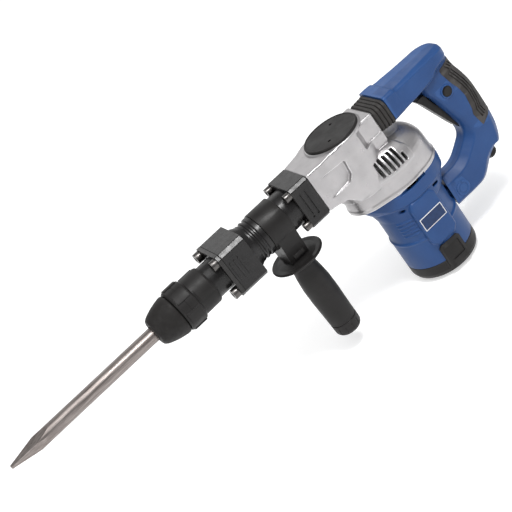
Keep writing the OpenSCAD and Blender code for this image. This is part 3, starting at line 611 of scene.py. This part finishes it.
def gear_housing():
    front = prism(
        [(-239.7, -27.9), (-252, -29.4), (-276, -34), (CRANK_X, -37), (CRANK_X, 37), (-276, 34),
         (-252, 29.4), (-239.7, 27.9)], -60, 60, "xy",
    )
    common(front, prism(
        [(-239.7, -26.4), (-250, -27.2), (-264, -29.5), (-276, -42), (CRANK_X, -42), (CRANK_X, 30.8),
         (-275, 30.8), (-262, 28.5), (-239.7, 27.4)], -50, 50,
    ))
    bevelled(front, 2.4)
    neck = block(-347, CRANK_X, -26.6, 26.6, -12, 30.2)
    bevelled(neck, 2.6)

    drum = dome(0.9, -62, -12)
    lip = loft([oval_ring(DRUM, z) for z in (-64, -59.5)])
    panel = dome(0, -60, -11.2, draw=24.6)
    outline = [(-297, -35), (-309, -13), (-349, -13), (-356, -24), (-356, -40), (-301, -40)]
    common(panel, prism(outline, -70, 70, radius=2))
    cut(panel, block(-370, -290, -23, 23, -70, 0))
    boss = rod(-45, 31.5, 37.3, centre=CRANK_X)
    bevelled(boss, 1.6)
    shell = join(drum, lip, panel, boss, front, neck)
    scoop = prism(
        [(-230, 13), (-286, 13), (-284, -6), (-278, -13), (-255, -15.5), (-230, -13)], 29, 60, radius=2,
    )
    ledge = prism([(-313.5, 36.5), (-323, 25.4), (-352, 24.4), (-352, 60), (-313.5, 60)], 3, 27, "xy")
    cut(shell, mirrored(scoop), scoop, mirrored(ledge), ledge)

    for i in range(VENT_COUNT):
        x = REAR_VENT_X + i * VENT_PITCH
        top = -26 if i == 0 else -15.8
        slot = upright_bar(x, VENT_W / 2, -36.5, top, 22, 60, 1)
        cut(shell, mirrored(slot), slot)
    dent = block(-374, -352, -17, 17, -13.2, 0)
    cut(shell, bevelled(dent, 1))
    cast_skin(shell, 0.75, 3, 0.55)
    cut(shell, *joint_slots())

    hollow = dome(4.6, -70, -17)
    cut(hollow, rod(-80, 20, 35, centre=CRANK_X), rod(-42, 0, 13, centre=MOTOR_X))
    cut(hollow, prism([(-230, -27), (-282, -35), (-282, 35), (-230, 27)], -43, 20, "xy"))
    cut(
        shell, hollow,
        rod(-13.6, 40, 31, centre=CRANK_X), rod(-27, -13, 21, centre=CRANK_X),
        rod(-43, -26.5, 31, centre=CRANK_X),
        rod(25.5, 40, 33, centre=CRANK_X), rod(-43, -25, 8.5, centre=MOTOR_X),
        loft([oval_ring(DRUM, z, 4.6) for z in (-70, -42)]),
        rod(-262, -230, 22.1, "x"), rod(CRANK_X, -261, 19.5, "x"), block(-350, -342, -21, 21, 0, 24.5),
    )
    for y in (-23, 23):
        for z in (-21.5, 21.5):
            hole = rod(-256, -230, 3.1, "x", steps=32)
            hole.data.transform(Matrix.Translation((0, y * MM, z * MM)))
            cut(shell, hole)
    add(shell, "gearbox_casting", "cast_aluminium", "housing", "gear_housing")


def service_cap():
    plate = turned(
        [(31.5, 0), (31.5, 35.4), (33.7, 35.4), (34.7, 34.6), (34.7, 33.2), (34.2, 32.6), (34.2, 0)],
        0.4, "z", CRANK_X,
    )
    rim = rod(26.5, 32, 32.8, centre=CRANK_X)
    cut(rim, rod(20, 40, 29, centre=CRANK_X))
    join(plate, rim)
    for side in (-1, 1):
        turn = math.radians(54)
        x, y = CRANK_X + side * 19 * math.cos(turn), side * 19 * math.sin(turn)
        hole = rod(32.2, 40, 2.1, centre=x, steps=32)
        hole.data.transform(Matrix.Translation((0, y * MM, 0)))
        cut(plate, hole)
    add(plate, "service_cover", "black_plastic", "housing", "service_cap")


# ---- motor ----


def motor_housing():
    levels = [
        (-64, [(CRANK_X, 25), (MOTOR_X, 47.5), (MOTOR_X - 16, 44.5)]),
        (-71, [(CRANK_X, 25), (MOTOR_X, 47.4), (MOTOR_X - 16, 44.4)]),
        (-80.5, [(CRANK_X - 8, 27), (MOTOR_X, 47.1), (MOTOR_X - 15, 44.2)]),
        (-82.5, [(CRANK_X - 11, 27.5), (MOTOR_X, 45.2), (MOTOR_X - 14, 43.2)]),
        (-98, [(MOTOR_X, 43.9), (MOTOR_X - 5, 42.5)]),
    ]
    skirt = loft([oval_ring(circles, z) for z, circles in levels])
    drum = lathe(
        [(-171.8, 0), (-171.8, 45.1), (-134.6, 45.1), (-134, 45.9), (-132.4, 45.9), (-131.4, 43.7),
         (-75, 43.7), (-75, 0)], "z", MOTOR_X,
    )
    shell = join(drum, skirt)
    hexagon = [(-312.5, -91), (-316.5, -82), (-345, -82), (-352, -90), (-352, -142), (-345, -149),
               (-319, -149), (-312.5, -142)]
    plate = prism(hexagon, -46, 46)
    bevelled(plate, 2.2, 1)
    shell = join(shell, plate)
    rib_zone = prism([(-296, -98), (-311, -98), (-311, -126), (-296, -126)], -50, 50)
    ribs = None
    for z in (-102, -107, -112, -117, -122):
        rib = lathe(
            [(z - 1.1, 0), (z - 1.1, 43), (z - 0.5, 45), (z + 0.5, 45), (z + 1.1, 43), (z + 1.1, 0)],
            "z", MOTOR_X,
        )
        ribs = join(ribs, rib) if ribs else rib
    join(shell, common(ribs, rib_zone))
    join(shell, block(-392, -374, -8, 8, -137, -123), rod(-8, 8, 9, "y", PIVOT))
    for low, high in ((-311, -301), (-363, -353.5)):
        pocket = prism([(low, -88.6), (high, -87.6), (high, -84), (low, -85)], 32, 60, radius=1.2)
        cut(shell, mirrored(pocket), pocket)
    cast_skin(shell, 0.7, 3, 0.5)

    hollow = loft([
        oval_ring([(CRANK_X - 4, 22), (MOTOR_X, 47), (MOTOR_X - 15, 44)], -60, 3),
        oval_ring([(CRANK_X - 14, 22), (MOTOR_X, 46), (MOTOR_X - 13, 43)], -80, 4),
        oval_ring([(MOTOR_X, 44), (MOTOR_X - 4, 42)], -98, 3),
    ])
    bore = rod(-180, -70, 40.9, centre=MOTOR_X)
    cut(shell, hollow, bore, rod(-9, 9, 5, "y", PIVOT), *joint_slots())
    add(shell, "motor_shell", "blue_plastic", "housing", "motor_housing")


def end_cap():
    cap = turned(
        [(-172, 0), (-172, 45.2), (-184, 45), (-189.5, 42.6), (-193, 37), (-193.9, 30), (-193.9, 0)],
        1.2, "z", MOTOR_X,
    )
    tab = prism(
        [(-346, -184), (-346, -154), (-342.5, -150.4), (-319.5, -150.4), (-316, -154), (-316, -184)],
        -46.9, 46.9,
    )
    bevelled(tab, 0.9, 2)
    cut(tab, rod(-171.9, -100, 45.35, centre=MOTOR_X))
    common(tab, rod(-190, -140, 47.4, centre=MOTOR_X))
    join(cap, tab)
    window = prism([(-341.5, -176), (-341.5, -156), (-320.5, -156), (-320.5, -176)], 45.7, 60, radius=1)
    cut(cap, mirrored(window), window)
    cut(cap, rod(-188, -171, 41.4, centre=MOTOR_X), rod(-186, -171, 15, centre=MOTOR_X))
    bevelled(cap, 0.4, 2)
    add(cap, "motor_end_cap", "black_plastic", "housing", "end_cap")


# ---- rear handle ----

# Sections of the upper arm from the bellows to its round end: place on X, half width, top, underside,
# chamfer of the top edges in Y and in Z, chamfer of the lower edges.
ARM = [
    (-367.5, 28.1, 33.2, 0.3, 3, 2.4, 2.5),
    (-377, 27.8, 33.2, 0.8, 3, 2.4, 2.5),
    (-383.5, 27.4, 33, 1.1, 3.5, 2.6, 2.5),
    (-387, 26.8, 31.1, 1.3, 4, 2.6, 2.5),
    (-400, 26.2, 31, 1.9, 5, 2.8, 2.5),
    (-418, 25.3, 31, 2.9, 6.5, 3, 2.5),
    (-434, 24.8, 31, 4.4, 7.5, 3, 3.5),
    (-442, 24.5, 31, 6.4, 8, 3, 6),
    (-450, 24.2, 31, 8, 8.5, 3, 7),
    (-458, 22.6, 30.8, 9.5, 9, 3.2, 6.5),
    (-463.5, 19.5, 30, 11, 9, 3.8, 5),
    (-467.4, 14.5, 28.6, 13, 6.5, 4.2, 3),
    (-469.6, 8.5, 26.4, 15, 3, 3.5, 2),
]

# Sections of the grip from inside the arm down to the lower pivot: outer and inner edge in X and Z, half
# width, chamfer of the outer and of the inner edges, corner radius.
GRIP = [
    ((-467.8, 24), (-424, 24), 17.4, 5.5, 3, 3),
    ((-468.2, 10), (-420, 8), 17.8, 6, 3, 3),
    ((-469.8, -3), (-419.5, -8), 18, 6.5, 3.5, 3),
    ((-474.8, -18), (-423.6, -18.5), 18, 7, 4, 4),
    ((-478.4, -35), (-428.8, -36), 18, 7, 4.5, 4),
    ((-479.6, -52), (-433.3, -52.7), 18, 7, 5.5, 5),
    ((-479.6, -70), (-436.6, -67), 18, 7, 7, 4),
    ((-479.2, -87), (-437, -78), 18, 7, 8.5, 3),
    ((-476, -104), (-433.5, -86), 18, 6.5, 9.5, 2),
    ((-468.5, -118.5), (-425, -93), 18, 4.5, 9.5, 1.6),
    ((-462, -122), (-420, -96.5), 18, 8, 9.5, 1.6),
    ((-447.8, -129.2), (-413, -101), 18, 7.5, 9.5, 1.6),
    ((-427, -143), (-404, -104), 18, 4.5, 9.5, 1.6),
    ((-409, -145), (-396, -104.5), 18, 3.5, 9.5, 1.6),
    ((-392, -145), (-386, -104.5), 18, 3.5, 9.5, 1.6),
    ((-371, -145), (-371, -104.5), 18, 3, 9.5, 1.6),
]


def between(a, b, c, d, t):
    """Catmull-Rom value at share t of the way from b to c."""
    line = 2 * b + (c - a) * t
    square = (2 * a - 5 * b + 4 * c - d) * t * t
    cube = (3 * b - a - 3 * c + d) * t ** 3
    return 0.5 * (line + square + cube)


def spline(values, steps):
    """Catmull-Rom points through lists of numbers."""
    path = []
    last = len(values) - 1
    for i in range(last):
        p = [values[max(0, min(last, i + k))] for k in (-1, 0, 1, 2)]
        for k in range(steps):
            path.append([between(*four, k / steps) for four in zip(*p)])
    path.append(list(values[last]))
    return path


def arm_solid():
    rings = []
    for x, w, top, low, wide, deep, under in spline(ARM, 4):
        section = round_corners([
            (-w, low + under), (under - w, low), (w - under, low), (w, low + under),
            (w, top - deep), (w - wide, top), (wide - w, top), (-w, top - deep),
        ], 1.6, 3)
        rings.append([(x, p[0], p[1]) for p in section])
    return loft(rings)


def grip_solid(grow=0.0):
    rows = [[*outer, *inner, half, far, near, radius] for outer, inner, half, far, near, radius in GRIP]
    rings = []
    for ox, oz, ix, iz, half, far, near, radius in spline(rows, 5):
        outer, inner = Vector((ox, oz)), Vector((ix, iz))
        middle = (outer + inner) / 2
        along = (inner - outer).normalized()
        depth = (inner - outer).length / 2 + grow
        w = half + grow
        section = round_corners([
            (-depth, far - w), (-depth, w - far), (far * 1.2 - depth, w), (depth - near, w),
            (depth, w - near), (depth, near - w), (depth - near, -w), (far * 1.2 - depth, -w),
        ], radius, 3)
        rings.append([(middle.x + along.x * p[0], p[1], middle.y + along.y * p[0]) for p in section])
    return loft(rings)


def skin_zone():
    """Side view of the soft grip."""
    return prism(
        [(-448, 5), (-448, 0), (-453, -18), (-457, -28), (-459.4, -41), (-457.6, -61), (-455, -67),
         (-459.2, -87), (-471, -81), (-490, -74), (-490, 12), (-461, 9)],
        -40, 40, radius=2,
    )


def trench(shift):
    """Groove of the soft grip: a zigzag at its top, then a line along the grip."""
    line = [(-452.5, 3.5), (-456.5, -3), (-451.8, -8), (-455, -16), (-459, -28), (-461.6, -42),
            (-460.5, -60), (-458, -68), (-460.5, -79)]
    line = [(x - shift, z + shift * 0.35) for x, z in line]
    back = [(x - 1.5, z + 0.4) for x, z in reversed(line)]
    groove = prism(line + back, -40, 40, radius=0.6)
    return cut(groove, grip_solid(-1.1))


def rear_handle():
    body = join(arm_solid(), grip_solid())
    hollow = prism(
        [(-458, 26.5), (-463, 22), (-463.5, 4), (-470, -20), (-474, -50), (-474, -82), (-467, -112),
         (-455, -119), (-447, -112), (-448.5, -80), (-443, -66), (-431.3, -30), (-423.5, -8), (-421.5, 8),
         (-366, 5.5), (-366, 26.5)],
        -12.5, 12.5, radius=2,
    )
    slot = prism([(-429, -4.5), (-400, -4.5), (-425, -71), (-450, -74)], -7.5, 7.5)
    fork = prism(
        [(-360, -141), (-401, -141), (-406, -135), (-406, -125), (-401, -119), (-360, -119)], -8.6, 8.6,
    )
    bellows_mouth = block(-384, -360, -24, 24, 5, 27)
    motor_clearance = rod(-160, -60, 47.1, centre=MOTOR_X)
    cut(body, bellows_mouth, hollow, slot, fork, motor_clearance)
    cut(body, rod(-9.8, 9.8, 3.1, "y", TRIGGER, 32), rod(-14.6, 14.6, 5.05, "y", PIVOT, 48))

    ring = rod(14, 19.2, 8.5, "y", BUTTON)
    bevelled(ring, 0.7)
    join(body, ring)
    cut(body, rod(5, 40, 6.8, "y", BUTTON))
    for low, high in ((14, 18.5), (-18.5, -14)):
        disc = rod(low, high, 9.6, "y", PIVOT)
        bevelled(disc, 0.5)
        join(body, disc)
        groove = rod(low if low < 0 else 17.9, high if high > 0 else -17.9, 6.4, "y", PIVOT)
        cut(groove, rod(-30, 30, 5.2, "y", PIVOT))
        side = 1 if low > 0 else -1
        groove.data.transform(Matrix.Translation((0, side * 0.2 * MM, 0)))
        cut(body, groove)

    seat = Matrix.Translation(Vector((GLAND[0], 0, GLAND[1])) * MM)
    tilt = Matrix.Rotation(math.radians(GLAND_TILT), 4, "Y")
    for low, high, radius in ((-9, 20, 8.1), (-9.2, -2, 10), (-24, -8, 5)):
        bore = rod(low, high, radius, steps=64)
        bore.data.transform(seat @ tilt)
        cut(body, bore)

    skin = grip_solid(0.35)
    common(skin, skin_zone())
    cut(skin, grip_solid(-2.0))
    bed = grip_solid(2)
    common(bed, skin_zone())
    cut(bed, grip_solid(-2.02))
    cut(body, bed)

    for name, low, high in (("left", 0.06, 40), ("right", -40, -0.06)):
        half = common(copy_of(body), block(-500, -350, low, high, -160, 60))
        soften(half, 0.5, 2)
        bake(half)
        add(half, "handle_shell_" + name, "blue_plastic", "rear_handle", "rear_handle_" + name)
    bpy.data.objects.remove(body)

    cut(skin, *[trench(shift) for shift in (3.4, 6.6, 9.8)])
    soften(skin, 0.35, 2)
    bake(skin)
    add(skin, "soft_grip", "overmould_rubber", "rear_handle", "grip_overmould")


def trigger():
    body = prism(
        [(-409, -9), (-407.5, -10.5), (-412.8, -18.8), (-422.4, -41.1), (-431, -61.1), (-435, -69.6),
         (-438, -70.4), (-443, -69.8), (-445.6, -66), (-443, -62), (-435.5, -47), (-424.5, -24),
         (-421, -10), (-418, -9)], -7, 7, radius=1.5,
    )
    bevelled(body, 1.8, 4)
    join(body, rod(-9.6, 9.6, 2.95, "y", TRIGGER, 32))
    add(body, "trigger_lever", "control_black", "trigger", "trigger")


def bellows():
    """Pleated rubber sleeve, deeper towards the handle."""
    rings = []
    front, rear, pleats = -347.1, -367.2, 4
    pitch = (front - rear) / pleats
    profile = [(0.0, 1.7), (0.12, 1.5), (0.2, 0.2), (0.3, 0), (0.78, 0), (0.88, 0.2), (0.97, 1.5)]

    def section(x, share, inset):
        grow = share * 2.2
        half = 26.6 + grow - inset
        low, high = -0.6 - grow * 0.5 + inset, 30.4 + grow * 0.35 - inset
        corners = [
            (-half, low + 4), (4 - half, low), (half - 4, low), (half, low + 4),
            (half, high - 5), (half - 6, high), (6 - half, high), (-half, high - 5),
        ]
        return [(x, p[0], p[1]) for p in round_corners(corners, 3, 3)]

    for i in range(pleats):
        for along, inset in profile:
            share = (i + along) / pleats
            rings.append(section(front - (i + along) * pitch, share, inset))
    rings.append(section(rear, 1, 1.7))
    sleeve = loft(rings)
    cut(sleeve, block(-380, -340, -22, 22, 4, 26))
    add(sleeve, "bellows_sleeve", "bellows_rubber", None, "bellows")
    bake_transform(sleeve)


# ---- chuck and side handle ----


def chuck():
    nose = turned([
        (-37.6, 0), (-37.6, 22.5), (-33.4, 22.5), (-33.4, 25.5), (-32, 26.2), (-29.5, 26.2), (-23, 25.1),
        (-16, 23.4), (-10, 21.4), (-5, 19.3), (-1.6, 16.9), (-0.6, 14.2), (-0.6, 0),
    ], 1.2)
    cut(nose, rod(-40, -14, 16.5, "x"), rod(-15, 5, 9.7, "x"))
    soften(nose, 0.3, 2)
    bake(nose)
    add(nose, "nose_cap", "black_rubber", "housing", "dust_cap")

    sleeve = turned([
        (-83, 0), (-83, 23.2), (-80.5, 24.4), (-58.6, 24.6), (-57.2, 26.9), (-55.5, 27.5), (-46.6, 27.5),
        (-46.2, 27.1), (-45.8, 27.5), (-36.6, 27.5), (-34.7, 26.3), (-34.7, 0),
    ], 0.5)
    front_lugs = (range(20, 360, 60), 15, (-55.2, -37.6, 28.7, 25))
    rear_lugs = (range(50, 360, 120), 18, (-79, -60.5, 25.6, 23))
    for turns, half_angle, ring in (front_lugs, rear_lugs):
        for turn in turns:
            lug = common(tube(*ring), wedge(turn, half_angle))
            bevelled(lug, 0.6)
            join(sleeve, lug)
    cut(sleeve, rod(-60, -30, 23.45, "x"), rod(-90, -59, 22.05, "x"))
    add(sleeve, "chuck_sleeve_shell", "black_plastic", "chuck_sleeve", "locking_sleeve")


def coil(low, high, radius, wire, turns, z=0):
    """Helical spring about a line along X, with its end turns laid flat."""
    rings = []
    steps = 28 * turns
    for k in range(steps + 1):
        share = k / steps
        rise = min(1, max(0, (share * turns - 0.7) / (turns - 1.4)))
        x = low + wire + (high - low - 2 * wire) * rise
        turn = 2 * math.pi * turns * share
        ring = []
        for n in range(10):
            a = 2 * math.pi * n / 10
            r = radius + wire * math.cos(a)
            ring.append((x + wire * math.sin(a), r * math.cos(turn), z + r * math.sin(turn)))
        rings.append(ring)
    return loft(rings)


def springs():
    ring = coil(-89.9, -66.1, 19, 0.88, 5)
    add(ring, "sleeve_spring_coil", "ground_steel", "housing", "sleeve_spring")
    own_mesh(ring)
    small = coil(-443.8, -431.1, 3.4, 0.48, 5, -33)
    add(small, "trigger_spring_coil", "ground_steel", "rear_handle", "trigger_spring")
    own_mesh(small)


def eight_sided(low, high, half, corner):
    near, far = half - corner, half
    part = prism(
        [(-near, -far), (near, -far), (far, -near), (far, near), (near, far), (-near, far), (-far, near),
         (-far, -near)], low, high, "yz",
    )
    return bevelled(part, 0.8)


def barrel():
    """Block behind the front plate, ringed neck, seat of the side handle and rear flange."""
    body = turned([
        (-139, 0), (-139, 29.2), (-140, 29.2), (-147.5, 25.6), (-150, 25.6), (-151, 24.4), (-153, 24.4),
        (-154, 25.8), (-156, 25.8), (-157, 24.6), (-159, 24.6), (-160, 26.1), (-165.6, 26.1),
        (-165.6, SEAT_R), (-196.4, SEAT_R), (-197, 24.5), (-214, 24.5), (-214, 0),
    ], 0.5)
    join(body, eight_sided(-140, -106.2, 29.4, 5))
    flange = eight_sided(-239.6, -213.6, 28.4, 4)
    for x in (-110.5, -116.5, -122.5):
        rib = upright_bar(x, 1, -13, 14, 28, 30.4, 0.9)
        bevelled(rib, 0.4)
        join(body, mirrored(rib), rib)
    for x in (-221, -228):
        groove = upright_bar(x, 1.4, -17, 17, 27, 40, 1)
        cut(flange, mirrored(groove), groove)
    join(body, flange)
    cut(body, rod(-134.1, -105, 19, "x"), rod(-140, -134, 12, "x"), rod(-250, -137.9, 22.05, "x"))
    front_hole = (-138.1, -105, 4.05, 21.5)
    rear_hole = (-250, -212, 3.2, 23)
    for y in (-1, 1):
        for z in (-1, 1):
            for low, high, radius, across in (front_hole, rear_hole):
                hole = rod(low, high, radius, "x", steps=32)
                hole.data.transform(Matrix.Translation((0, y * across * MM, z * 21.5 * MM)))
                cut(body, hole)
    add(body, "barrel_casting", "black_casting", "housing", "barrel")


def tube(low, high, outer, inner):
    return cut(rod(low, high, outer, "x", steps=160), rod(low - 1, high + 1, inner, "x", steps=160))


def wedge(turn, half_angle):
    """Sector about the X axis, wider and longer than the chuck."""
    reach = 60
    angles = [math.radians(turn + a) for a in (-half_angle, 0, half_angle)]
    rim = [(reach * math.sin(-a), reach * math.cos(a)) for a in angles]
    return prism([(0, 0)] + rim, -120, 0, "yz")


def side_handle():
    grip = turned([
        (-57.4, 0), (-57.4, 14.4), (-62, 15), (-70, 15.6), (-80, 17), (-95, 18.3), (-115, 18.3),
        (-135, 17.6), (-152.4, 17.1), (-153, 16.1), (-153.8, 16.1), (-154.4, 17.2), (-166, 16.8),
        (-169.8, 14.6), (-170.9, 11), (-170.9, 0),
    ], 1.4, "z", SIDE_X)
    flute_count = 12
    for k in range(flute_count):
        angle = 2 * math.pi * k / flute_count
        flute = rod(-175, -157.5, 1.9, steps=24)
        flute.data.transform(Matrix.Translation(
            Vector((SIDE_X + 18.1 * math.cos(angle), 18.1 * math.sin(angle), 0)) * MM
        ))
        cut(grip, flute)
    cut(grip, rod(-92, -50, 4.05, centre=SIDE_X, steps=48))
    add(grip, "side_grip_shell", "grip_black", "side_grip", "side_grip")

    guard = turned([
        (-49.6, 0), (-49.6, 17), (-51.7, 26), (-51.2, 32), (-52.2, 33.9), (-53.4, 33.9), (-55, 31),
        (-57, 17), (-57, 0),
    ], 0.8, "z", SIDE_X)
    cut(guard, rod(-60, -40, 4, centre=SIDE_X, steps=48))
    add(guard, "guard_disc", "collar_black", "side_handle", "hand_guard")


BEVELS = {
    "chisel": 0.25, "front_housing": 0.7, "front_screws": 0.5, "barrel_screws": 0.45,
    "clamp_collar": 1.0, "label_plate": 0.1, "cable_gland": 0.3, "lock_button": 0.4,
}
for entry in frame["record"]["subparts"]:
    keep_cad(entry["node"], entry["material_slot"], BEVELS.get(entry["node"], 0))
gear_housing()
service_cap()
motor_housing()
end_cap()
rear_handle()
trigger()
bellows()
barrel()
chuck()
springs()
side_handle()


# ---- floor, light and camera ----


def studio():
    """Pale floor under the motor cap, bright even surroundings, a soft sun and three panels."""
    floor_size = 30
    floor_z = cad_box[0][2] - 0.0002
    bm = bmesh.new()
    bmesh.ops.create_grid(bm, x_segments=8, y_segments=8, size=floor_size)
    mesh = bpy.data.meshes.new("floor")
    bm.to_mesh(mesh)
    bm.free()
    floor = bpy.data.objects.new("floor", mesh)
    floor.location = (0, 0, floor_z)
    mesh.materials.append(floor_finish())
    bpy.context.scene.collection.objects.link(floor)

    world = bpy.data.worlds.new("studio")
    bpy.context.scene.world = world
    world.use_nodes = True
    sky = world.node_tree.nodes["Background"]
    sky.inputs["Color"].default_value = (1, 1, 1, 1)
    sky.inputs["Strength"].default_value = 0.42

    middle = Vector((-0.2, 0, -0.02))
    for name, kind, place, size, power in (
        ("sun", "SUN", (0.1, 0.7, 1.8), math.radians(50), 1.2),
        ("ridge", "AREA", (-0.45, 0.6, 1.15), 0.3, 11),
        ("back", "AREA", (-0.6, -1.9, 1.1), 1.6, 6),
        ("front", "AREA", (1.2, 0.6, 0.7), 0.5, 4),
    ):
        light = bpy.data.lights.new(name, kind)
        if kind == "SUN":
            light.angle = size
        else:
            light.size = size
        light.energy = power
        lamp = bpy.data.objects.new(name, light)
        lamp.location = place
        lamp.rotation_euler = (middle - Vector(place)).to_track_quat("-Z", "Y").to_euler()
        bpy.context.scene.collection.objects.link(lamp)


def camera():
    """Camera beside and above the tool, rolled so that the chisel points down to the left."""
    place = Vector((184.46, 1455.11, 714.61)) * MM
    right = Vector((-0.71413, 0.43688, -0.54695))
    forward = Vector((-0.19888, -0.87577, -0.43986))
    up = right.cross(forward)
    view = bpy.data.cameras.new("camera")
    view.sensor_width = 36
    view.lens = 102.98
    view.clip_end = 100
    eye = bpy.data.objects.new("camera", view)
    turn = Matrix((right, up, -forward)).transposed()
    eye.matrix_world = Matrix.Translation(place) @ turn.to_4x4()
    bpy.context.scene.collection.objects.link(eye)
    bpy.context.scene.camera = eye


studio()
camera()
bpy.context.scene.view_settings.view_transform = "Standard"
